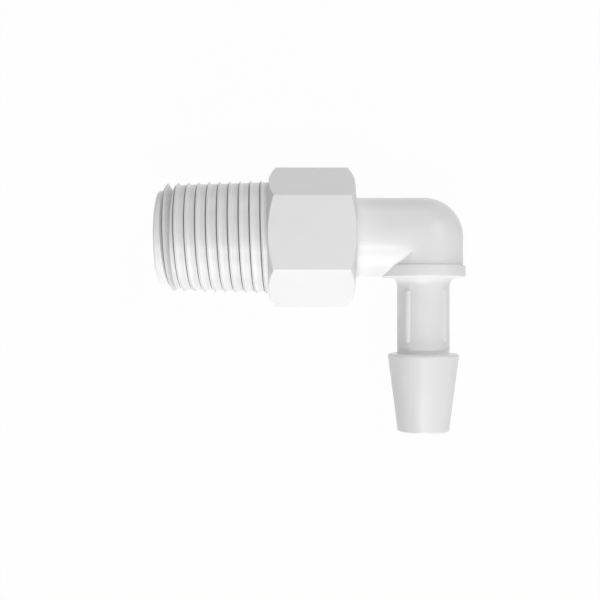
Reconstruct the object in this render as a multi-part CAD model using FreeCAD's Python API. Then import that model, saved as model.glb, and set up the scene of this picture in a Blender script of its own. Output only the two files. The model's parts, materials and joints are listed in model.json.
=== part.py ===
import FreeCAD, Part
import math
import os
from FreeCAD import Vector

# Barbed elbow fitting in white plastic, moulded in one piece, in millimetres.
#
# A tapered pipe thread and a hexagon lie along X, with the thread's end at -X.
# The run turns square at a ball-shaped corner into a tube barb that points to -Y.
# The elbow lies on one flat of its hexagon. The origin is on the surface below it,
# under the middle of its outline.
#
# Everything is modelled about the point where the centre lines of the run and of
# the barb cross, and is moved to the origin at the end.

INCH = 25.4

# Pipe thread, 1/8-27 with the usual taper of 1 in 16 on the diameter. Its ridge stands
# at its full height on the pilot, and behind the pilot the core hides all but its crest.
threads_per_inch = 27
thread_taper = 1 / 16
thread_half_angle = 30.0
thread_depth = 0.634
thread_crest_flat = 0.05
thread_end_diameter = 9.72
thread_length = 9.99
first_crest_offset = 0.51
pilot_length = 1.10
crest_over_core = 0.18
nose_slope = 60.0
nose_edge_chamfer = 0.14

# Hexagon, 7/16 in across its flats, with both ends turned to a shallow cone
hex_across_flats = 7 / 16 * INCH
hex_length = 7.62
hex_face_diameter = 11.00
hex_chamfer_angle = 30.0

# Round arm between the hexagon and the corner
hex_to_barb_axis = 6.43
arm_diameter = 7.17
arm_root_chamfer = 0.35

# Collar under the corner, where the tube stops
collar_top_drop = 2.60
collar_thickness = 1.08
collar_diameter = 7.64
collar_rim_chamfer = 0.14

# Neck and single barb for 3/16 in tube
neck_diameter = 3 / 16 * INCH
neck_fillet = 0.75
barb_shoulder_drop = 10.66
barb_diameter = 6.44
barb_edge_land = 0.16
tip_land = 0.42
tip_chamfer = 0.20
barb_end_drop = 17.74

# Four low ribs that keep the tube from turning on the neck: beads with round ends
rib_count = 4
rib_width = 0.68
rib_height = 0.20
rib_top_drop = 4.75
rib_bottom_drop = 9.68

# Passages, open at the thread's end and at the barb's tip. The run's passage goes on a little
# past the barb's, so that the barb's opens whole into it.
run_bore_diameter = 4.80
run_bore_overrun = 0.30
run_bore_end_chamfer = 0.60
barb_bore_diameter = 1 / 8 * INCH

# How far a shape reaches into the one that it grows from, and stands clear of one that it trims
root_overlap = 0.20
trim_clearance = 0.60

# Places that follow from the sizes above
thread_pitch = INCH / threads_per_inch
taper_angle = math.degrees(math.atan(thread_taper / 2))
hex_end = -hex_to_barb_axis
hex_start = hex_end - hex_length
thread_start = hex_start - thread_length
arm_radius = arm_diameter / 2
collar_radius = collar_diameter / 2
neck_radius = neck_diameter / 2
barb_radius = barb_diameter / 2
hex_corner_radius = hex_across_flats / 2 / math.cos(math.pi / 6)


def crest_radius(x):
    """Radius of the thread's crests at a place along the run."""
    return (thread_end_diameter + (x - thread_start) * thread_taper) / 2


def pilot_radius(x):
    """Radius of the pilot, level with the roots of the full thread."""
    return crest_radius(x) - thread_depth


def outline(points):
    """Edges through points; an entry of three points is an arc from the point before."""
    edges = []
    last = None
    for entry in points:
        if isinstance(entry, tuple):
            middle, end = entry
            edges.append(Part.Arc(last, middle, end).toShape().toNurbs().Edges[0])
            last = end
        else:
            if last is not None:
                edges.append(Part.LineSegment(last, entry).toShape())
            last = entry
    return edges


def turned(points, axis):
    """Solid turned about an axis through the centre-line crossing."""
    wire = Part.Wire(outline(points + points[:1]))
    return Part.Face(wire).revolve(Vector(0, 0, 0), axis, 360)


def quarter(start, end, centre, radius):
    """Quarter round from start to end, in the form that outline() takes."""
    middle_way = (start + end) * 0.5 - centre
    return (centre + middle_way.normalize() * radius, end)


def run(x, radius):
    """Point of a profile that is turned about the run."""
    return Vector(x, radius, 0)


def leg(drop, radius):
    """Point of a profile that is turned about the barb's centre line."""
    return Vector(radius, -drop, 0)


def thread_nose():
    """Places along the run where the end's chamfer ends and where the crests reach full height."""
    rim = thread_start + nose_edge_chamfer
    return rim, rim + thread_depth / math.tan(math.radians(nose_slope))


def make_thread_trim():
    """Body that the ridge is kept inside: a steep cone at the nose, clear of the crests behind it."""
    rim, crest_start = thread_nose()
    inside_hex = hex_start + hex_length / 2
    clear = crest_radius(inside_hex) + trim_clearance
    rise = clear - crest_radius(crest_start)
    clear_start = crest_start + rise / math.tan(math.radians(nose_slope))
    return turned([
        run(thread_start, 0),
        run(thread_start, pilot_radius(thread_start) - nose_edge_chamfer),
        run(rim, pilot_radius(rim)),
        run(clear_start, clear),
        run(inside_hex, clear),
        run(inside_hex, 0),
    ], Vector(1, 0, 0))


def make_thread_core():
    """Pilot at the thread's end, and behind a steep step the cone that the crests stand on."""
    rim = thread_nose()[0]
    pilot_end = thread_start + pilot_length
    step = thread_depth - crest_over_core
    core_start = pilot_end + step / math.tan(math.radians(nose_slope))
    inside_hex = hex_start + hex_length / 2
    return turned([
        run(thread_start, 0),
        run(thread_start, pilot_radius(thread_start) - nose_edge_chamfer),
        run(rim, pilot_radius(rim)),
        run(pilot_end, pilot_radius(pilot_end)),
        run(core_start, crest_radius(core_start) - crest_over_core),
        run(inside_hex, crest_radius(inside_hex) - crest_over_core),
        run(inside_hex, 0),
    ], Vector(1, 0, 0))


def ridge_section():
    """Corners of the thread's ridge as (step along, step outward) from its crest line."""
    half_crest = thread_crest_flat / 2
    half_root = half_crest + thread_depth * math.tan(math.radians(thread_half_angle))
    below = -thread_depth - root_overlap
    return [
        (-half_root, below),
        (-half_root, -thread_depth),
        (-half_crest, 0),
        (half_crest, 0),
        (half_root, -thread_depth),
        (half_root, below),
    ]


def helix(start, radius, turns):
    """Right-hand helix about Z that widens with the thread's taper."""
    wire = Part.makeLongHelix(thread_pitch, turns * thread_pitch, radius, taper_angle)
    wire.translate(Vector(0, 0, start))
    return wire


def make_ridge():
    """The thread's ridge, from two turns outside the end to inside the hexagon."""
    start = thread_start + first_crest_offset - 2 * thread_pitch
    turns = (hex_start + hex_length / 4 - start) / thread_pitch
    corners = [
        helix(start + along, crest_radius(start) + outward, turns)
        for along, outward in ridge_section()
    ]
    walls = []
    for number, corner in enumerate(corners):
        following = corners[(number + 1) % len(corners)]
        for turn, next_turn in zip(corner.OrderedEdges, following.OrderedEdges):
            walls.append(Part.makeRuledSurface(turn, next_turn))
    for end in (0, -1):
        ring = [corner.OrderedVertexes[end].Point for corner in corners]
        walls.append(Part.Face(Part.makePolygon(ring + ring[:1])))
    shell = Part.Shell(walls)
    shell.sewShape()
    ridge = Part.makeSolid(Part.Shell(shell.Faces))
    ridge.fix(1e-5, 1e-6, 1e-4)
    ridge.rotate(Vector(0, 0, 0), Vector(0, 1, 0), 90)
    return ridge


def make_thread():
    """Core and ridge of the thread, trimmed at its nose."""
    ridge = make_ridge().common(make_thread_trim())
    return make_thread_core().fuse(ridge)


def make_hexagon():
    """Hexagon bar with a flat down, cut to length by a body with conical ends."""
    corners = []
    for number in range(6):
        turn = math.radians(60 * number)
        across = Vector(0, math.cos(turn), math.sin(turn))
        corners.append(Vector(hex_start, 0, 0) + across * hex_corner_radius)
    bar = Part.Face(Part.makePolygon(corners + corners[:1])).extrude(Vector(hex_length, 0, 0))
    face_radius = hex_face_diameter / 2
    outer = hex_corner_radius + trim_clearance
    slope = (outer - face_radius) * math.tan(math.radians(hex_chamfer_angle))
    body = turned([
        run(hex_start, 0),
        run(hex_start, face_radius),
        run(hex_start + slope, outer),
        run(hex_end - slope, outer),
        run(hex_end, face_radius),
        run(hex_end, 0),
    ], Vector(1, 0, 0))
    return bar.common(body)


def make_arm():
    """Round arm from inside the hexagon to the crossing, with a small cone at its root."""
    inside_hex = hex_end - hex_length / 2
    return turned([
        run(inside_hex, 0),
        run(inside_hex, arm_radius + arm_root_chamfer),
        run(hex_end, arm_radius + arm_root_chamfer),
        run(hex_end + arm_root_chamfer, arm_radius),
        run(0, arm_radius),
        run(0, 0),
    ], Vector(1, 0, 0))


def make_leg():
    """Leg below the crossing: collar, filleted neck and the cone of the barb."""
    collar_bottom = collar_top_drop + collar_thickness
    rim = collar_radius - collar_rim_chamfer
    tip_radius = neck_radius
    cove_out = leg(collar_bottom, neck_radius + neck_fillet)
    cove_in = leg(collar_bottom + neck_fillet, neck_radius)
    cove_centre = leg(collar_bottom + neck_fillet, neck_radius + neck_fillet)
    return turned([
        leg(0, 0),
        leg(0, arm_radius),
        leg(collar_top_drop, arm_radius),
        leg(collar_top_drop, rim),
        leg(collar_top_drop + collar_rim_chamfer, collar_radius),
        leg(collar_bottom - collar_rim_chamfer, collar_radius),
        leg(collar_bottom, rim),
        cove_out,
        quarter(cove_out, cove_in, cove_centre, neck_fillet),
        leg(barb_shoulder_drop, neck_radius),
        leg(barb_shoulder_drop, barb_radius),
        leg(barb_shoulder_drop + barb_edge_land, barb_radius),
        leg(barb_end_drop - tip_land, tip_radius),
        leg(barb_end_drop - tip_chamfer, tip_radius),
        leg(barb_end_drop, tip_radius - tip_chamfer),
        leg(barb_end_drop, 0),
    ], Vector(0, 1, 0))


def make_rib():
    """One rib: a bead along the leg, sunk into the neck until it stands at its height."""
    half = rib_width / 2
    down = Vector(0, -1, 0)
    top = leg(rib_top_drop + half, 0)
    bottom = leg(rib_bottom_drop - half, 0)
    bead = Part.makeCylinder(half, (bottom - top).Length, top, down)
    bead = bead.fuse([Part.makeSphere(half, top, down), Part.makeSphere(half, bottom, down)])
    bead.translate(Vector(0, 0, neck_radius + rib_height - half))
    return bead


def make_ribs():
    """The ribs, evenly spaced and set between the mould's parting plane and its middle."""
    ribs = []
    step = 360 / rib_count
    for number in range(rib_count):
        rib = make_rib()
        rib.rotate(Vector(0, 0, 0), Vector(0, 1, 0), (number + 0.5) * step)
        ribs.append(rib)
    return ribs


def make_bores():
    """Straight passage of the run with a broken end, and the barb's passage into it."""
    run_radius = run_bore_diameter / 2
    barb_bore_radius = barb_bore_diameter / 2
    end = barb_bore_radius + run_bore_overrun
    outside = thread_start - trim_clearance
    run_bore = turned([
        run(outside, 0),
        run(outside, run_radius),
        run(end - run_bore_end_chamfer, run_radius),
        run(end, run_radius - run_bore_end_chamfer),
        run(end, 0),
    ], Vector(1, 0, 0))
    barb_bore = Part.makeCylinder(
        barb_bore_radius, barb_end_drop + trim_clearance, Vector(0, 0, 0), Vector(0, -1, 0))
    return run_bore, barb_bore


def make_fitting():
    """The whole moulding, about the crossing of its centre lines."""
    ball = Part.makeSphere(arm_radius)
    body = make_thread().multiFuse([make_hexagon(), make_arm(), ball, make_leg()] + make_ribs())
    body = body.cut(make_bores())
    return body.removeSplitter()


def to_rest(body):
    """Moves the moulding so that the origin lies under the middle of its outline."""
    left = thread_start
    right = max(arm_radius, collar_radius, barb_radius)
    front = -barb_end_drop
    back = hex_corner_radius
    body.translate(Vector(
        -(left + right) / 2,
        -(front + back) / 2,
        hex_across_flats / 2,
    ))
    return body


def main():
    fitting = to_rest(make_fitting())
    os.makedirs("parts", exist_ok=True)
    fitting.exportStep("parts/elbow_fitting.step")
    box = fitting.optimalBoundingBox(False)
    print("valid", fitting.isValid(), "solids", len(fitting.Solids), "faces", len(fitting.Faces))
    print("volume mm3", round(fitting.Volume, 2))
    print("x", round(box.XMin, 3), round(box.XMax, 3))
    print("y", round(box.YMin, 3), round(box.YMax, 3))
    print("z", round(box.ZMin, 3), round(box.ZMax, 3))


main()
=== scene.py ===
import json
import math
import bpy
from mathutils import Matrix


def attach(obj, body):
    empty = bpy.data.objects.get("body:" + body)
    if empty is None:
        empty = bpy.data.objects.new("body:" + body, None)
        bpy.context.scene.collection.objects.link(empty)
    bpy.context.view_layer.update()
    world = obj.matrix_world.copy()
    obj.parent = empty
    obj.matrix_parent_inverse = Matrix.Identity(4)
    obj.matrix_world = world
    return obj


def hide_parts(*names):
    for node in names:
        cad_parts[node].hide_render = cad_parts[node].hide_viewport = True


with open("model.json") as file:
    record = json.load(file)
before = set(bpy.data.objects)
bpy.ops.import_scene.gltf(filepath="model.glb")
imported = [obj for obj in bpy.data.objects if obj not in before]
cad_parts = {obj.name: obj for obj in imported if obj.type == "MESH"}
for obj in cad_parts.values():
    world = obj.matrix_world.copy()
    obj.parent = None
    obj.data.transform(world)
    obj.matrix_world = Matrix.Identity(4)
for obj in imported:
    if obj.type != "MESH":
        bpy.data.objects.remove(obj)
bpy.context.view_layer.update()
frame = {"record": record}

from types import SimpleNamespace

import bmesh
import bpy
from bpy.props import FloatProperty, FloatVectorProperty, IntProperty, PointerProperty
from mathutils import Vector

bl_info = {
    "name": "Barbed elbow fitting",
    "version": (1, 0, 0),
    "blender": (4, 5, 0),
    "location": "View3D > Sidebar > Elbow",
    "description": "Models a moulded elbow with a pipe thread and a hose barb, and its studio",
    "category": "Add Mesh",
}

# The fitting is modelled in millimetres, because Blender's mesh tools round off at
# lengths that matter on so small a part, and is brought to metres at the end.
MILLIMETRE = 0.001

# Places and sizes that come from the frame, in millimetres
NODE = "elbow_fitting"
MOUNTS = {mount["name"]: mount for mount in frame["record"]["mounts"]}
THREAD_END = Vector(MOUNTS["run_bore"]["pos_m"]) / MILLIMETRE
BARB_END = Vector(MOUNTS["barb_bore"]["pos_m"]) / MILLIMETRE
UPPER_FLAT = Vector(MOUNTS["upper_flat"]["pos_m"]) / MILLIMETRE
LOWER_FLAT = Vector(MOUNTS["lower_flat"]["pos_m"]) / MILLIMETRE
HEX_MIDDLE = UPPER_FLAT.x
ACROSS_FLATS = UPPER_FLAT.z - LOWER_FLAT.z
RUN_BORE_RADIUS = MOUNTS["run_bore"]["dims"]["r_mm"]
BARB_BORE_RADIUS = MOUNTS["barb_bore"]["dims"]["r_mm"]
CROSSING = Vector((BARB_END.x, THREAD_END.y, THREAD_END.z))
RUN_LENGTH = CROSSING.x - THREAD_END.x
LEG_LENGTH = CROSSING.y - BARB_END.y
ALONG_RUN = Vector((1, 0, 0))
DOWN_LEG = Vector((0, -1, 0))

# How finely round shapes are divided
ROUND_STEPS = 192
BEND_STEPS = 6
BALL_STEPS = 48

# In millimetres, how far a part reaches into its neighbour, stands clear of one that it trims, and
# covers one that it wraps; and how close vertices lie that are one
OVERLAP = 0.3
CLEARANCE = 0.6
SKIN = 0.004
MERGE_DISTANCE = 0.0001

# How much wider than its rounding a bore's cutter is outside the mouth
MOUTH_FLARE = 1.5

# Edges that bend by less than this are shaded smooth
SMOOTH_BELOW = math.radians(32)

# The photograph's frame, and how large a pixel is at the height of the fitting's centre lines
PHOTO_PIXELS = 600
CROSSING_PIXEL = (423.2, 237.3)
PIXEL_SIZE = 0.0916 * MILLIMETRE
LENS = 50.0
SENSOR = 36.0

# Lamps: name, direction that it shines from, width and depth in metres
LAMP_DISTANCE = 0.20
LAMPS = (
    ("strip", (0, -0.54, 0.84), 0.12, 0.02),
    ("front", (0, -1, 0.28), 0.16, 0.16),
    ("back", (0, 1, 0.4), 0.12, 0.12),
    ("side", (0.55, 0.4, 0.75), 0.12, 0.12),
)

# Floor: its width in metres, and how white it is to the camera without its shadow
FLOOR_SIZE = 2.0
FLOOR_WHITE = 0.97

# Plastic: noise scales per metre, and depths of the mould's grain in metres
PLASTIC_IOR = 1.49
CLOUD_SCALE = 420.0
CLOUDING = 0.04
GRAIN_SCALE = 9000.0
SMOOTH_GRAIN = 0.000002
HEXAGON_GRAIN = 0.000003
HEXAGON_EXTRA_ROUGHNESS = 0.08
MARK_STRETCH = 0.02

# Painted shade in the crease before a crest, in widths of the crest's flank: from the crest to its
# middle, half its width, and from its middle to where it has faded out
CREASE_MIDDLE = 0.85
CREASE_HALF_WIDTH = 0.45
CREASE_END = 0.6


def length(default, name, description):
    """A size in metres that the sidebar shows in the scene's units."""
    return FloatProperty(
        name=name, description=description, default=default, unit="LENGTH", precision=5, min=0.0)


class ThreadSizes(bpy.types.PropertyGroup):
    """Sizes of the pipe thread."""

    pitch: length(0.0254 / 27, "Pitch", "From one crest to the next")
    depth: length(0.000634, "Depth", "From crest to root, as the first turn shows it")
    end_diameter: length(0.00972, "End diameter", "Across the crests at the thread's end")
    first_crest: length(0.00051, "First crest", "From the thread's end to the crest, on the underside")
    plain_end: length(0.00052, "Plain end", "From the thread's end to where the first turn starts")
    pilot_length: length(0.00110, "Pilot", "Length of the thin end that the first turn stands on")
    crest_over_core: length(0.00018, "Crest height", "Height of the crests behind the pilot")
    crest_round: length(0.00003, "Crest round", "Radius of the crests")
    nose_round: length(0.00014, "Nose round", "Radius of the thread's end")
    taper: FloatProperty(
        name="Taper", description="Growth of the diameter along the thread", default=1 / 16)
    half_angle: FloatProperty(
        name="Half angle", description="Between a flank and the square to the run",
        default=math.radians(30), subtype="ANGLE")
    start_lean: FloatProperty(
        name="Start lean", description="By which the first turn starts later on the barb's side",
        default=math.radians(3), subtype="ANGLE")
    nose_slope: FloatProperty(
        name="Nose slope", description="Rise of the first turn's start and of the pilot's step",
        default=math.radians(60), subtype="ANGLE")


class HexagonSizes(bpy.types.PropertyGroup):
    """Sizes of the hexagon."""

    length: length(0.00762, "Length", "Between the hexagon's end faces")
    face_diameter: length(0.01100, "Face diameter", "Round end faces inside the chamfers")
    edge_round: length(0.00007, "Edge round", "Rounding of the six long edges")
    chamfer_angle: FloatProperty(
        name="Chamfer angle", description="Between a chamfer and the end face",
        default=math.radians(30), subtype="ANGLE")


class ElbowSizes(bpy.types.PropertyGroup):
    """Sizes of the arm and its corner."""

    diameter: length(0.00717, "Diameter", "Of the arm and of the ball at the corner")
    root_fillet: length(0.00035, "Root fillet", "Where the arm meets the hexagon")


class LegSizes(bpy.types.PropertyGroup):
    """Sizes of the collar, the neck and the barb, measured down from the crossing."""

    collar_drop: length(0.00260, "Collar", "From the crossing to the collar")
    collar_thickness: length(0.00108, "Collar thickness", "Along the leg")
    collar_diameter: length(0.00764, "Collar diameter", "Of the collar that stops the tube")
    collar_round: length(0.00014, "Collar round", "Rounding of the collar's rims")
    neck_diameter: length(0.00476, "Neck diameter", "Bore of the tube that fits")
    neck_fillet: length(0.00075, "Neck fillet", "Under the collar")
    shoulder_drop: length(0.01066, "Shoulder", "From the crossing to the barb's shoulder")
    barb_diameter: length(0.00644, "Barb diameter", "Over the barb's edge")
    barb_round: length(0.00018, "Barb round", "Rounding of the barb's edge")
    tip_land: length(0.00042, "Tip land", "Straight ring at the barb's tip")
    tip_round: length(0.00022, "Tip round", "Rounding of the tip")


class RibSizes(bpy.types.PropertyGroup):
    """Sizes of the ribs on the neck."""

    count: IntProperty(name="Count", description="Ribs round the neck", default=4, min=0)
    width: length(0.00068, "Width", "Across a rib")
    height: length(0.00020, "Height", "Above the neck")
    top_drop: length(0.00475, "Top", "From the crossing to the ribs' upper ends")
    bottom_drop: length(0.00968, "Bottom", "From the crossing to the ribs' lower ends")


class BoreSizes(bpy.types.PropertyGroup):
    """Sizes of the passages that the frame doesn't give."""

    mouth_round: length(0.00012, "Mouth round", "Rounding of both mouths")
    end_chamfer: length(0.00060, "End chamfer", "At the blind end of the wide passage")


class FinishSettings(bpy.types.PropertyGroup):
    """Colour and texture of the plastic, and the painted shade on the thread."""

    colour: FloatVectorProperty(
        name="Plastic", description="Colour of the plastic", default=(0.83, 0.83, 0.83),
        subtype="COLOR", min=0.0, max=1.0)
    roughness: FloatProperty(
        name="Roughness", description="Of the plain moulded surfaces", default=0.34)
    marks: FloatProperty(
        name="Marks", description="Strength of the fine marks round the thread", default=0.30)
    # Painted shade: darkens the thread's colour from each crest to the next, as the lands' shading
    # would
    fade: FloatProperty(
        name="Fade", description="How much the thread darkens from one crest to the next",
        default=0.14)
    # Painted shade: colour brightness of the dark band in the crease at the foot of each crest's shaded
    # flank
    painted_crease_shade: FloatProperty(
        name="Crease shade", description="Brightness where a crest's flank meets the land before it",
        default=0.22)
    # Painted shade: colour brightness of the sides of the recess behind the first turn
    painted_recess_shade: FloatProperty(
        name="Recess shade", description="Brightness of the sides of the recess behind the first turn",
        default=0.84)


class StudioSettings(bpy.types.PropertyGroup):
    """Strength of the lamps and colour of the floor."""

    world: FloatProperty(name="World", description="Light from all round", default=0.20)
    strip: FloatProperty(name="Strip lamp", description="Over the barb's side, in watts", default=0.130)
    front: FloatProperty(name="Front lamp", description="Low, from the barb, in watts", default=0.250)
    back: FloatProperty(name="Back lamp", description="Low, from behind, in watts", default=0.078)
    side: FloatProperty(name="Side lamp", description="High, past the corner, in watts", default=0.110)
    floor: FloatVectorProperty(
        name="Floor", description="Colour of the floor", default=(0.8, 0.8, 0.8),
        subtype="COLOR", min=0.0, max=1.0)


def sizes(group):
    """The settings that the scene holds under that name, with lengths in millimetres."""
    settings = getattr(bpy.context.scene, group)
    values = {}
    for key in settings.__annotations__:
        in_metres = settings.bl_rna.properties[key].unit == "LENGTH"
        value = getattr(settings, key)
        values[key] = value / MILLIMETRE if in_metres else value
    return SimpleNamespace(**values)


def only(piece):
    """Makes a piece the active and only selected object."""
    bpy.ops.object.select_all(action="DESELECT")
    piece.select_set(True)
    bpy.context.view_layer.objects.active = piece


def start_editing():
    bpy.ops.object.mode_set(mode="EDIT")


def stop_editing():
    bpy.ops.object.mode_set(mode="OBJECT")


def choose(piece, kind, test):
    """Selects the vertices, edges or faces of a piece in edit mode that pass a test."""
    mesh = bmesh.from_edit_mesh(piece.data)
    bpy.ops.mesh.select_all(action="DESELECT")
    bpy.ops.mesh.select_mode(type={"verts": "VERT", "edges": "EDGE", "faces": "FACE"}[kind])
    for item in getattr(mesh, kind):
        if test(item):
            item.select_set(True)
    mesh.select_flush_mode()
    bmesh.update_edit_mesh(piece.data)


def place_in_mesh(piece):
    """Moves a piece's place from its object into its mesh."""
    only(piece)
    bpy.ops.object.transform_apply(location=True, rotation=True, scale=True)


def name_active(name):
    piece = bpy.context.view_layer.objects.active
    piece.name = name
    piece.data.name = name
    return piece


def close_and_face_out(piece):
    """Merges doubled vertices, then turns all faces outwards."""
    only(piece)
    start_editing()
    bpy.ops.mesh.select_all(action="SELECT")
    bpy.ops.mesh.remove_doubles(threshold=MERGE_DISTANCE)
    bpy.ops.mesh.normals_make_consistent(inside=False)
    stop_editing()


def close_pinholes(piece):
    """Draws together the holes, far smaller than any size, where joined parts just touch."""
    only(piece)
    start_editing()
    bpy.ops.mesh.select_mode(type="VERT")
    bpy.ops.mesh.select_all(action="DESELECT")
    bpy.ops.mesh.select_non_manifold()
    bpy.ops.mesh.remove_doubles(threshold=MERGE_DISTANCE)
    stop_editing()


def bend(along, radius, size, start, end):
    """Stations of a round whose centre is given, from one angle to another in degrees.

    At 0 degrees the point lies further along, and at 90 degrees it lies further out.
    """
    stations = []
    for step in range(BEND_STEPS + 1):
        angle = math.radians(start + (end - start) * step / BEND_STEPS)
        stations.append((along + size * math.cos(angle), radius + size * math.sin(angle)))
    return stations


def turned(name, start, direction, stations):
    """Solid turned about a line through start: a disc that is extruded and resized at each station."""
    last, radius = stations[0]
    tilt = Vector((0, 0, 1)).rotation_difference(direction).to_euler()
    bpy.ops.object.select_all(action="DESELECT")
    bpy.ops.mesh.primitive_circle_add(
        vertices=ROUND_STEPS, radius=radius, fill_type="NGON",
        location=start + direction * last, rotation=tilt)
    piece = name_active(name)
    place_in_mesh(piece)
    start_editing()
    bpy.ops.mesh.select_mode(type="FACE")
    bpy.ops.mesh.select_all(action="SELECT")
    for along, wide in stations[1:]:
        bpy.ops.mesh.extrude_region_move(
            TRANSFORM_OT_translate={"value": direction * (along - last)})
        scale = wide / radius
        bpy.ops.transform.resize(
            value=(scale, scale, scale), center_override=start + direction * along)
        last, radius = along, wide
    stop_editing()
    close_and_face_out(piece)
    return piece


def drawn(name, points):
    """Open line through points: one vertex, extruded from each point to the next."""
    bpy.ops.object.select_all(action="DESELECT")
    bpy.ops.mesh.primitive_plane_add(size=CLEARANCE)
    piece = name_active(name)
    start_editing()
    bpy.ops.mesh.select_mode(type="VERT")
    bpy.ops.mesh.select_all(action="SELECT")
    bpy.ops.mesh.merge(type="CENTER")
    bpy.ops.transform.translate(value=points[0])
    for before, after in zip(points, points[1:]):
        bpy.ops.mesh.extrude_region_move(TRANSFORM_OT_translate={"value": after - before})
    stop_editing()
    return piece


def combine(piece, tool, operation):
    """Joins a tool to a piece, cuts it away or keeps what both share, and deletes the tool."""
    for body in (piece, tool):
        only(body)
        start_editing()
        bpy.ops.mesh.select_all(action="SELECT")
        bpy.ops.mesh.quads_convert_to_tris()
        stop_editing()
    only(piece)
    bpy.ops.object.modifier_add(type="BOOLEAN")
    modifier = piece.modifiers[-1]
    modifier.operation = operation
    modifier.solver = "EXACT"
    modifier.material_mode = "TRANSFER"
    modifier.object = tool
    bpy.ops.object.modifier_apply(modifier=modifier.name)
    bpy.data.objects.remove(tool)
    return piece


def crest_radius(along):
    """Radius of the thread's crests at a distance from the thread's end."""
    thread = sizes("elbow_thread")
    return (thread.end_diameter + along * thread.taper) / 2


def thread_profile():
    """One pitch of the thread, from root to root, round the line through the crests."""
    thread = sizes("elbow_thread")
    crest = crest_radius(0)
    root = crest - thread.depth
    ball = thread.crest_round
    swing = 90 - math.degrees(thread.half_angle)
    points = []
    for step in range(BEND_STEPS + 1):
        angle = math.radians(-swing + 2 * swing * step / BEND_STEPS)
        points.append(Vector((ball * math.sin(angle), crest - ball + ball * math.cos(angle), 0)))
    foot = (points[-1].y - root) * math.tan(thread.half_angle)
    foot_right = Vector((points[-1].x + foot, root, 0))
    foot_left = Vector((-foot_right.x, root, 0))
    half = thread.pitch / 2
    return [Vector((-half, root, 0)), foot_left] + points + [foot_right, Vector((half, root, 0))]


def make_full_thread(stop):
    """Thread of full depth, from outside its end to inside the hexagon."""
    thread = sizes("elbow_thread")
    lead = thread.first_crest + thread.pitch / 4 - 2 * thread.pitch
    turns = math.ceil((stop - lead) / thread.pitch) + 2
    piece = drawn("thread", [point + ALONG_RUN * lead for point in thread_profile()])
    bpy.ops.object.modifier_add(type="SCREW")
    screw = piece.modifiers[-1]
    screw.axis = "X"
    screw.angle = 2 * math.pi
    screw.screw_offset = thread.pitch
    screw.iterations = turns
    screw.steps = ROUND_STEPS
    screw.render_steps = ROUND_STEPS
    bpy.ops.object.modifier_apply(modifier=screw.name)
    close_and_face_out(piece)
    bpy.ops.object.modifier_add(type="SIMPLE_DEFORM")
    taper = piece.modifiers[-1]
    taper.deform_method = "TAPER"
    taper.deform_axis = "X"
    ends = [vertex.co.x for vertex in piece.data.vertices]
    taper.factor = thread.taper / 2 * (max(ends) - min(ends)) / crest_radius(0)
    bpy.ops.object.modifier_apply(modifier=taper.name)
    start_editing()
    for place, outer in ((-OVERLAP, False), (stop + OVERLAP, True)):
        bpy.ops.mesh.select_all(action="SELECT")
        bpy.ops.mesh.bisect(
            plane_co=ALONG_RUN * place, plane_no=ALONG_RUN, use_fill=True,
            clear_inner=not outer, clear_outer=outer, threshold=MERGE_DISTANCE)
    stop_editing()
    piece.location = THREAD_END
    place_in_mesh(piece)
    close_and_face_out(piece)
    return piece


def thread_stop():
    """Distance from the thread's end to the place inside the hexagon where the thread stops."""
    hexagon = sizes("elbow_hexagon")
    return HEX_MIDDLE - hexagon.length / 4 - THREAD_END.x


def make_pilot():
    """Plain end with a rounded rim, a hair wider than the roots of the turn that stands on it."""
    thread = sizes("elbow_thread")
    rim = thread.nose_round
    root = crest_radius(rim) - thread.depth + SKIN
    end = thread.pilot_length + OVERLAP
    return turned("pilot", THREAD_END, ALONG_RUN, bend(rim, root - rim, rim, 180, 90) + [
        (end, crest_radius(end) - thread.depth + SKIN)])


def make_turns():
    """Turns of full depth, the first of which rises from the pilot on the underside."""
    thread = sizes("elbow_thread")
    stop = thread_stop()
    low = crest_radius(0) - thread.depth - OVERLAP
    clear = crest_radius(stop) + 2 * CLEARANCE
    leaning = Vector((math.cos(thread.start_lean), math.sin(thread.start_lean), 0))
    start = -OVERLAP / math.tan(thread.nose_slope)
    rise = (clear - low) / math.tan(thread.nose_slope)
    trim = turned("thread_trim", THREAD_END + ALONG_RUN * thread.plain_end, leaning, [
        (start, low), (start + rise, clear), (stop - thread.plain_end, clear)])
    return combine(make_full_thread(stop), trim, "INTERSECT")


def make_thread_core():
    """Core behind the pilot, which hides all of the thread but its crests."""
    thread = sizes("elbow_thread")
    start = thread.pilot_length
    stop = thread_stop() - OVERLAP
    low = crest_radius(start) - thread.depth - OVERLAP
    step = thread.depth - thread.crest_over_core + OVERLAP
    top = start + step / math.tan(thread.nose_slope)
    return turned("thread_core", THREAD_END, ALONG_RUN, [
        (start, low),
        (top, crest_radius(top) - thread.crest_over_core),
        (stop, crest_radius(stop) - thread.crest_over_core),
    ])


def make_hexagon():
    """Hexagon bar with softened edges, whose ends are turned to a shallow cone."""
    hexagon = sizes("elbow_hexagon")
    corner = ACROSS_FLATS / 2 / math.cos(math.pi / 6)
    middle = Vector((HEX_MIDDLE, CROSSING.y, CROSSING.z))
    bpy.ops.object.select_all(action="DESELECT")
    bpy.ops.mesh.primitive_cylinder_add(
        vertices=6, radius=corner, depth=hexagon.length + 2 * CLEARANCE, location=middle,
        rotation=(0, math.pi / 2, 0))
    bar = name_active("hexagon")
    place_in_mesh(bar)
    start_editing()
    choose(bar, "edges", lambda edge: edge.calc_length() > hexagon.length)
    bpy.ops.mesh.bevel(offset=hexagon.edge_round, segments=BEND_STEPS // 2, affect="EDGES")
    stop_editing()
    face = hexagon.face_diameter / 2
    outer = corner + CLEARANCE
    slope = (outer - face) * math.tan(hexagon.chamfer_angle)
    half = hexagon.length / 2
    body = turned("hexagon_trim", middle, ALONG_RUN, [
        (-half, face), (slope - half, outer), (half - slope, outer), (half, face)])
    return combine(bar, body, "INTERSECT")


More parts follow.
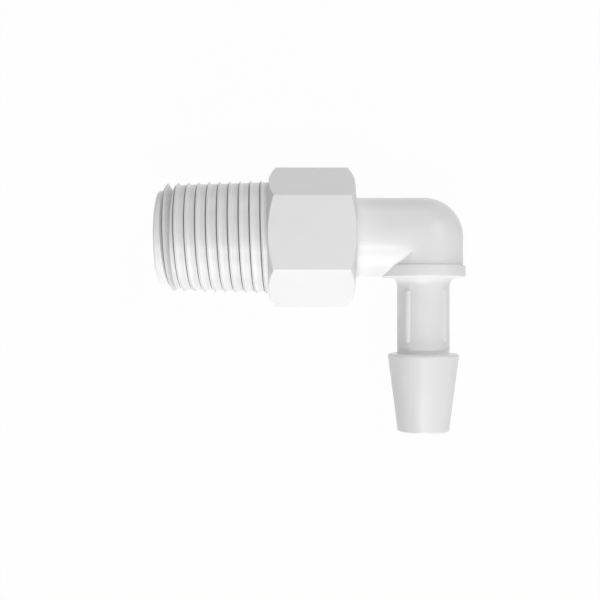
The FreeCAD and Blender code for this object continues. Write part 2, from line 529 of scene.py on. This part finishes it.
def make_tube(direction, turn_in, stations):
    """Round tube from the crossing, cut square on its outside and to the mitre on its inside."""
    radius = stations[0][1]
    tilt = Vector((0, 0, 1)).rotation_difference(direction).to_euler()
    bpy.ops.object.select_all(action="DESELECT")
    bpy.ops.mesh.primitive_circle_add(
        vertices=ROUND_STEPS, radius=radius, location=CROSSING, rotation=tilt)
    piece = name_active("tube")
    place_in_mesh(piece)
    start_editing()
    bpy.ops.mesh.select_mode(type="EDGE")
    bpy.ops.mesh.select_all(action="SELECT")
    last = 0
    for along, wide in stations:
        bpy.ops.mesh.extrude_edges_move(
            TRANSFORM_OT_translate={"value": direction * (along - last)})
        scale = wide / radius
        bpy.ops.transform.resize(
            value=(scale, scale, scale), center_override=CROSSING + direction * along)
        last, radius = along, wide
    bpy.ops.mesh.edge_face_add()
    bpy.ops.mesh.select_all(action="SELECT")
    bpy.ops.mesh.bisect(
        plane_co=CROSSING, plane_no=turn_in - direction, clear_outer=True,
        threshold=MERGE_DISTANCE)
    stop_editing()
    return piece


def make_elbow():
    """Arm with a fillet at the hexagon, ball corner, and the leg as far as inside the collar."""
    elbow = sizes("elbow_arm")
    leg = sizes("elbow_leg")
    radius = elbow.diameter / 2
    fillet = elbow.root_fillet
    to_hexagon = CROSSING.x - HEX_MIDDLE - sizes("elbow_hexagon").length / 2
    arm = make_tube(-ALONG_RUN, DOWN_LEG, [(radius, radius)] + bend(
        to_hexagon - fillet, radius + fillet, fillet, -90, 0) + [
        (to_hexagon + OVERLAP, radius + fillet)])
    inside_collar = (radius + leg.collar_drop + leg.collar_thickness) / 2
    stub = make_tube(DOWN_LEG, -ALONG_RUN, [(inside_collar, radius)])
    only(arm)
    stub.select_set(True)
    bpy.ops.object.join()
    start_editing()
    choose(arm, "edges", lambda edge: all(
        abs(vertex.co.x - CROSSING.x) < MERGE_DISTANCE
        and vertex.co.y > CROSSING.y - MERGE_DISTANCE for vertex in edge.verts))
    bpy.ops.mesh.spin(
        steps=BALL_STEPS, angle=math.pi / 2, center=CROSSING, axis=(0, 0, 1), dupli=False)
    stop_editing()
    arm.name = "elbow"
    close_and_face_out(arm)
    return arm


def make_leg():
    """Collar, filleted neck and the cone of the barb, down to its rounded tip."""
    leg = sizes("elbow_leg")
    rim = leg.collar_round
    collar_radius = leg.collar_diameter / 2
    collar_bottom = leg.collar_drop + leg.collar_thickness
    neck = leg.neck_diameter / 2
    barb = leg.barb_diameter / 2
    cone_top = leg.shoulder_drop + leg.barb_round
    cone_bottom = LEG_LENGTH - leg.tip_land
    lean = math.degrees(math.atan2(barb - neck, cone_bottom - cone_top))
    stations = [(leg.collar_drop, neck)]
    stations += bend(leg.collar_drop + rim, collar_radius - rim, rim, 180, 90)
    stations += bend(collar_bottom - rim, collar_radius - rim, rim, 90, 0)
    stations += bend(collar_bottom + leg.neck_fillet, neck + leg.neck_fillet, leg.neck_fillet, 180, 270)
    stations += [(leg.shoulder_drop, neck)]
    stations += bend(cone_top, barb - leg.barb_round, leg.barb_round, 180, 90 - lean)
    stations += [(cone_bottom, neck)]
    stations += bend(LEG_LENGTH - leg.tip_round, neck - leg.tip_round, leg.tip_round, 90, 0)
    return turned("leg", CROSSING, DOWN_LEG, stations)


def make_ribs():
    """Low round-ended beads on the neck, evenly spaced, with none at the sides or the middle."""
    ribs = sizes("elbow_ribs")
    half = ribs.width / 2
    neck = sizes("elbow_leg").neck_diameter / 2
    out = neck + ribs.height - half
    pieces = []
    for number in range(ribs.count):
        turn = 2 * math.pi * (number + 0.5) / ribs.count
        centre = CROSSING + Vector((math.cos(turn), 0, math.sin(turn))) * out
        top = bend(ribs.top_drop + half, 0, half, 180, 90)
        bottom = bend(ribs.bottom_drop - half, 0, half, 90, 0)
        top[0] = (top[0][0], half / ROUND_STEPS)
        bottom[-1] = (bottom[-1][0], half / ROUND_STEPS)
        pieces.append(turned("rib", centre, DOWN_LEG, top + bottom))
    return pieces


def mouth(radius):
    """Stations of a bore's rounded mouth, from outside the fitting to where the bore is straight."""
    lip = sizes("elbow_bores").mouth_round
    return [(-OVERLAP, radius + lip * MOUTH_FLARE)] + bend(lip, radius + lip, lip, 200, 270)


def make_passages():
    """The bodies that cut both passages, with rounded mouths."""
    chamfer = sizes("elbow_bores").end_chamfer
    end = RUN_LENGTH + BARB_BORE_RADIUS + OVERLAP
    run = turned("run_passage", THREAD_END, ALONG_RUN, mouth(RUN_BORE_RADIUS) + [
        (end - chamfer, RUN_BORE_RADIUS),
        (end, RUN_BORE_RADIUS - chamfer),
    ])
    barb = turned("barb_passage", BARB_END, -DOWN_LEG, mouth(BARB_BORE_RADIUS) + [
        (LEG_LENGTH, BARB_BORE_RADIUS),
    ])
    return run, barb


def socket(group, direction, name, kind):
    return group.interface.new_socket(name=name, in_out=direction, socket_type=kind)


def calculate(tree, operation, *values):
    """Math node whose inputs are numbers or other nodes' outputs; gives its output."""
    node = tree.nodes.new("ShaderNodeMath")
    node.operation = operation
    for place, value in zip(node.inputs, values):
        if isinstance(value, bpy.types.NodeSocket):
            tree.links.new(value, place)
        else:
            place.default_value = value
    return node.outputs[0]


def surface_group():
    """Node group for the skin that every moulded face has: faint clouding and fine grain."""
    name = "moulded skin"
    if name in bpy.data.node_groups:
        return bpy.data.node_groups[name]
    group = bpy.data.node_groups.new(name, "ShaderNodeTree")
    socket(group, "INPUT", "Colour", "NodeSocketColor")
    socket(group, "INPUT", "Roughness", "NodeSocketFloat")
    socket(group, "INPUT", "Clouding", "NodeSocketFloat")
    socket(group, "OUTPUT", "Colour", "NodeSocketColor")
    socket(group, "OUTPUT", "Roughness", "NodeSocketFloat")
    socket(group, "OUTPUT", "Grain", "NodeSocketFloat")
    nodes = group.nodes
    links = group.links
    inputs = nodes.new("NodeGroupInput")
    outputs = nodes.new("NodeGroupOutput")
    place = nodes.new("ShaderNodeTexCoord")
    clouds = nodes.new("ShaderNodeTexNoise")
    clouds.inputs["Scale"].default_value = CLOUD_SCALE
    clouds.inputs["Detail"].default_value = 3.0
    grain = nodes.new("ShaderNodeTexNoise")
    grain.inputs["Scale"].default_value = GRAIN_SCALE
    grain.inputs["Detail"].default_value = 2.0
    links.new(place.outputs["Object"], clouds.inputs["Vector"])
    links.new(place.outputs["Object"], grain.inputs["Vector"])
    centred = calculate(group, "SUBTRACT", clouds.outputs["Fac"], 0.5)
    swing = calculate(group, "MULTIPLY", centred, inputs.outputs["Clouding"])
    shade = calculate(group, "ADD", swing, 1.0)
    rough = calculate(group, "ADD", inputs.outputs["Roughness"], swing)
    tinted = nodes.new("ShaderNodeVectorMath")
    tinted.operation = "SCALE"
    links.new(inputs.outputs["Colour"], tinted.inputs[0])
    links.new(shade, tinted.inputs["Scale"])
    links.new(tinted.outputs[0], outputs.inputs["Colour"])
    links.new(rough, outputs.inputs["Roughness"])
    links.new(grain.outputs["Fac"], outputs.inputs["Grain"])
    return group


def plastic(name, roughness, grain_depth):
    """White moulded plastic with a given polish."""
    if name in bpy.data.materials:
        return bpy.data.materials[name]
    finish = sizes("elbow_finish")
    material = bpy.data.materials.new(name)
    material.use_nodes = True
    nodes = material.node_tree.nodes
    links = material.node_tree.links
    shader = nodes["Principled BSDF"]
    shader.inputs["IOR"].default_value = PLASTIC_IOR
    skin = nodes.new("ShaderNodeGroup")
    skin.node_tree = surface_group()
    skin.inputs["Colour"].default_value = (*finish.colour, 1.0)
    skin.inputs["Roughness"].default_value = roughness
    skin.inputs["Clouding"].default_value = CLOUDING
    bump = nodes.new("ShaderNodeBump")
    bump.inputs["Distance"].default_value = grain_depth
    links.new(skin.outputs["Grain"], bump.inputs["Height"])
    links.new(skin.outputs["Colour"], shader.inputs["Base Color"])
    links.new(skin.outputs["Roughness"], shader.inputs["Roughness"])
    links.new(bump.outputs["Normal"], shader.inputs["Normal"])
    return material


def thread_marks(tree, place):
    """Brightness, near 1, of the fine marks round the thread."""
    strength = sizes("elbow_finish").marks
    stretched = tree.nodes.new("ShaderNodeMapping")
    stretched.inputs["Scale"].default_value = (1.0, MARK_STRETCH, MARK_STRETCH)
    marks = tree.nodes.new("ShaderNodeTexNoise")
    marks.inputs["Scale"].default_value = GRAIN_SCALE
    tree.links.new(place, stretched.inputs["Vector"])
    tree.links.new(stretched.outputs[0], marks.inputs["Vector"])
    return calculate(tree, "MULTIPLY_ADD", marks.outputs["Fac"], strength, 1 - strength / 2)


def painted_ridge_shade(tree, apart):
    """Painted shade: brightness that falls from each crest to the next, with a painted dark crease
    before each crest.
    """
    finish = sizes("elbow_finish")
    thread = sizes("elbow_thread")
    around = calculate(tree, "ARCTAN2", apart.outputs["Z"], apart.outputs["Y"])
    turns = calculate(tree, "DIVIDE", around, 2 * math.pi)
    pitches = calculate(tree, "DIVIDE", apart.outputs["X"], thread.pitch * MILLIMETRE)
    phase = calculate(tree, "SUBTRACT", pitches, turns)
    past_crest = calculate(tree, "FRACT", phase)
    # Painted shade: the colour darkens from each crest to the next
    faded = calculate(tree, "MULTIPLY_ADD", past_crest, -finish.fade, 1.0)

    # Painted shade: a dark band in the crease at the foot of each crest's shaded flank
    flank = thread.crest_over_core * math.tan(thread.half_angle) / thread.pitch
    nearest = calculate(tree, "WRAP", phase, 0.5, -0.5)
    middle = calculate(tree, "ADD", nearest, flank * CREASE_MIDDLE)
    from_crease = calculate(tree, "ABSOLUTE", middle)
    painted_crease = tree.nodes.new("ShaderNodeMapRange")
    painted_crease.inputs["From Min"].default_value = flank * CREASE_HALF_WIDTH
    painted_crease.inputs["From Max"].default_value = flank * CREASE_END
    painted_crease.inputs["To Min"].default_value = finish.painted_crease_shade
    painted_crease.inputs["To Max"].default_value = 1.0
    tree.links.new(from_crease, painted_crease.inputs["Value"])
    return calculate(tree, "MULTIPLY", faded, painted_crease.outputs[0])


def from_axis(tree, apart):
    """Distance of a point from the thread's axis."""
    squares = [calculate(tree, "POWER", apart.outputs[axis], 2.0) for axis in "YZ"]
    return calculate(tree, "SQRT", calculate(tree, "ADD", *squares))


def thread_plastic(name, roughness, grain_depth):
    """Plastic of the thread, with fine marks round it, painted shade that falls from crest to crest, a
    painted dark crease before each crest and painted shade in the recess behind the first turn.
    """
    if name in bpy.data.materials:
        return bpy.data.materials[name]
    finish = sizes("elbow_finish")
    thread = sizes("elbow_thread")
    material = plastic(name, roughness, grain_depth)
    tree = material.node_tree
    place = tree.nodes.new("ShaderNodeTexCoord")
    crest = THREAD_END + ALONG_RUN * (thread.first_crest + thread.pitch / 4)
    from_crest = tree.nodes.new("ShaderNodeMapping")
    from_crest.inputs["Location"].default_value = -crest * MILLIMETRE
    apart = tree.nodes.new("ShaderNodeSeparateXYZ")
    tree.links.new(place.outputs["Object"], from_crest.inputs["Vector"])
    tree.links.new(from_crest.outputs[0], apart.inputs[0])

    pilot = (crest_radius(thread.pilot_length) - thread.depth + 2 * SKIN) * MILLIMETRE
    core = (crest_radius(0) - thread.crest_over_core - 2 * SKIN) * MILLIMETRE
    across = from_axis(tree, apart)
    on_ridge = calculate(tree, "GREATER_THAN", across, pilot)
    change = calculate(
        tree, "MULTIPLY", on_ridge, calculate(tree, "SUBTRACT", painted_ridge_shade(tree, apart), 1.0))
    marked = thread_marks(tree, place.outputs["Object"])
    shade = calculate(tree, "MULTIPLY_ADD", marked, change, marked)
    # Painted shade on the sides of the recess behind the first turn, between the pilot and the core
    in_recess = calculate(tree, "MULTIPLY", on_ridge, calculate(tree, "LESS_THAN", across, core))
    recess = calculate(tree, "MULTIPLY_ADD", in_recess, finish.painted_recess_shade - 1.0, 1.0)
    shade = calculate(tree, "MULTIPLY", shade, recess)

    tinted = tree.nodes.new("ShaderNodeVectorMath")
    tinted.operation = "SCALE"
    shader = tree.nodes["Principled BSDF"]
    tree.links.new(shader.inputs["Base Color"].links[0].from_socket, tinted.inputs[0])
    tree.links.new(shade, tinted.inputs["Scale"])
    tree.links.new(tinted.outputs[0], shader.inputs["Base Color"])
    return material


def give(piece, material):
    piece.data.materials.clear()
    piece.data.materials.append(material)


class ELBOW_OT_fitting(bpy.types.Operator):
    """Models the fitting as one moulding and puts it in place of its plain solid"""

    bl_idname = "elbow.fitting"
    bl_label = "Fitting"

    def execute(self, context):
        finish = sizes("elbow_finish")
        smooth = plastic("smooth plastic", finish.roughness, SMOOTH_GRAIN)
        flat = plastic(
            "hexagon plastic", finish.roughness + HEXAGON_EXTRA_ROUGHNESS, HEXAGON_GRAIN)
        # The thread's material carries painted shade: a fade between crests, dark creases and a darker
        # recess
        turned_mould = thread_plastic("thread plastic", finish.roughness, SMOOTH_GRAIN)
        fitting = make_hexagon()
        give(fitting, flat)
        for part, material in (
                [(make_thread_core(), turned_mould), (make_pilot(), turned_mould),
                 (make_turns(), turned_mould), (make_elbow(), smooth), (make_leg(), smooth)]
                + [(rib, smooth) for rib in make_ribs()]):
            give(part, material)
            combine(fitting, part, "UNION")
        for passage in make_passages():
            give(passage, smooth)
            combine(fitting, passage, "DIFFERENCE")
        close_pinholes(fitting)
        fitting.name = "moulded_elbow"
        fitting.data.name = "moulded_elbow"
        fitting.scale = (MILLIMETRE, MILLIMETRE, MILLIMETRE)
        place_in_mesh(fitting)
        bpy.ops.object.shade_smooth_by_angle(angle=SMOOTH_BELOW)
        bpy.ops.object.modifier_add(type="WEIGHTED_NORMAL")
        weighted = fitting.modifiers[-1]
        weighted.keep_sharp = True
        bpy.ops.object.modifier_apply(modifier=weighted.name)
        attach(fitting, "root")
        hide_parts(NODE)
        return {"FINISHED"}


def rays_that_see_white(tree):
    """1 for rays from the camera, from a gloss or through a clear body, and 0 for the rest."""
    ray = tree.nodes.new("ShaderNodeLightPath")
    seen = calculate(tree, "MAXIMUM", ray.outputs["Is Camera Ray"], ray.outputs["Is Glossy Ray"])
    return calculate(tree, "MAXIMUM", seen, ray.outputs["Is Transmission Ray"])


def floor_material():
    """Pale floor that the camera sees as white, with a faint shadow."""
    studio = sizes("elbow_studio")
    material = bpy.data.materials.new("floor")
    material.use_nodes = True
    nodes = material.node_tree.nodes
    links = material.node_tree.links
    shader = nodes["Principled BSDF"]
    shader.inputs["Base Color"].default_value = (*studio.floor, 1.0)
    shader.inputs["Roughness"].default_value = 1.0
    shader.inputs["Specular IOR Level"].default_value = 0.0
    white = nodes.new("ShaderNodeEmission")
    seen = rays_that_see_white(material.node_tree)
    share = calculate(material.node_tree, "MULTIPLY", seen, FLOOR_WHITE)
    mix = nodes.new("ShaderNodeMixShader")
    links.new(share, mix.inputs[0])
    links.new(shader.outputs[0], mix.inputs[1])
    links.new(white.outputs[0], mix.inputs[2])
    links.new(mix.outputs[0], nodes["Material Output"].inputs["Surface"])
    return material


def light_world():
    """Even light from all round, which the camera sees as white."""
    studio = sizes("elbow_studio")
    world = bpy.data.worlds.new("studio")
    bpy.context.scene.world = world
    world.use_nodes = True
    nodes = world.node_tree.nodes
    links = world.node_tree.links
    lit = nodes["Background"]
    lit.inputs["Color"].default_value = (1, 1, 1, 1)
    lit.inputs["Strength"].default_value = studio.world
    seen_world = nodes.new("ShaderNodeBackground")
    seen_world.inputs["Color"].default_value = (1, 1, 1, 1)
    mix = nodes.new("ShaderNodeMixShader")
    links.new(rays_that_see_white(world.node_tree), mix.inputs[0])
    links.new(lit.outputs[0], mix.inputs[1])
    links.new(seen_world.outputs[0], mix.inputs[2])
    links.new(mix.outputs[0], nodes["World Output"].inputs["Surface"])


def add_lamp(name, direction, width, depth, power):
    """Oblong soft lamp that shines on the fitting from a direction."""
    towards = Vector(direction).normalized()
    aim = Vector((0, CROSSING.y, CROSSING.z)) * MILLIMETRE
    turn = Vector((0, 0, 1)).rotation_difference(towards).to_euler()
    bpy.ops.object.light_add(type="AREA", location=aim + towards * LAMP_DISTANCE, rotation=turn)
    lamp = bpy.context.view_layer.objects.active
    lamp.name = name
    lamp.data.shape = "RECTANGLE"
    lamp.data.size = width
    lamp.data.size_y = depth
    lamp.data.energy = power


class ELBOW_OT_studio(bpy.types.Operator):
    """Adds the floor, the lamps and the camera"""

    bl_idname = "elbow.studio"
    bl_label = "Studio"

    def execute(self, context):
        studio = sizes("elbow_studio")
        bpy.ops.object.select_all(action="DESELECT")
        bpy.ops.mesh.primitive_plane_add(size=FLOOR_SIZE)
        floor = name_active("floor")
        give(floor, floor_material())
        light_world()
        for name, direction, width, depth in LAMPS:
            add_lamp(name, direction, width, depth, getattr(studio, name))
        distance = PHOTO_PIXELS * LENS / SENSOR * PIXEL_SIZE
        half = PHOTO_PIXELS / 2
        right = (half - CROSSING_PIXEL[0]) * PIXEL_SIZE
        up = (CROSSING_PIXEL[1] - half) * PIXEL_SIZE
        bpy.ops.object.camera_add(
            location=CROSSING * MILLIMETRE + Vector((right, up, distance)), rotation=(0, 0, 0))
        camera = bpy.context.view_layer.objects.active
        camera.data.lens = LENS
        camera.data.sensor_width = SENSOR
        camera.data.clip_start = 0.001
        context.scene.camera = camera
        context.scene.view_settings.view_transform = "Standard"
        return {"FINISHED"}


class ELBOW_PT_panel(bpy.types.Panel):
    """Lists the sizes and the steps"""

    bl_label = "Barbed elbow fitting"
    bl_idname = "ELBOW_PT_panel"
    bl_space_type = "VIEW_3D"
    bl_region_type = "UI"
    bl_category = "Elbow"

    def draw(self, context):
        layout = self.layout
        for name in GROUPS:
            settings = getattr(context.scene, name)
            box = layout.box()
            for key in settings.__annotations__:
                box.prop(settings, key)
        for operator in OPERATORS:
            layout.operator(operator.bl_idname)


GROUPS = {
    "elbow_thread": ThreadSizes,
    "elbow_hexagon": HexagonSizes,
    "elbow_arm": ElbowSizes,
    "elbow_leg": LegSizes,
    "elbow_ribs": RibSizes,
    "elbow_bores": BoreSizes,
    "elbow_finish": FinishSettings,
    "elbow_studio": StudioSettings,
}
OPERATORS = (ELBOW_OT_fitting, ELBOW_OT_studio)


def register():
    for group in GROUPS.values():
        bpy.utils.register_class(group)
    for name, group in GROUPS.items():
        setattr(bpy.types.Scene, name, PointerProperty(type=group))
    for operator in OPERATORS:
        bpy.utils.register_class(operator)
    bpy.utils.register_class(ELBOW_PT_panel)


def unregister():
    bpy.utils.unregister_class(ELBOW_PT_panel)
    for operator in reversed(OPERATORS):
        bpy.utils.unregister_class(operator)
    for name, group in GROUPS.items():
        delattr(bpy.types.Scene, name)
        bpy.utils.unregister_class(group)


def main():
    register()
    bpy.ops.elbow.studio()
    bpy.ops.elbow.fitting()


if __name__ == "__main__":
    main()
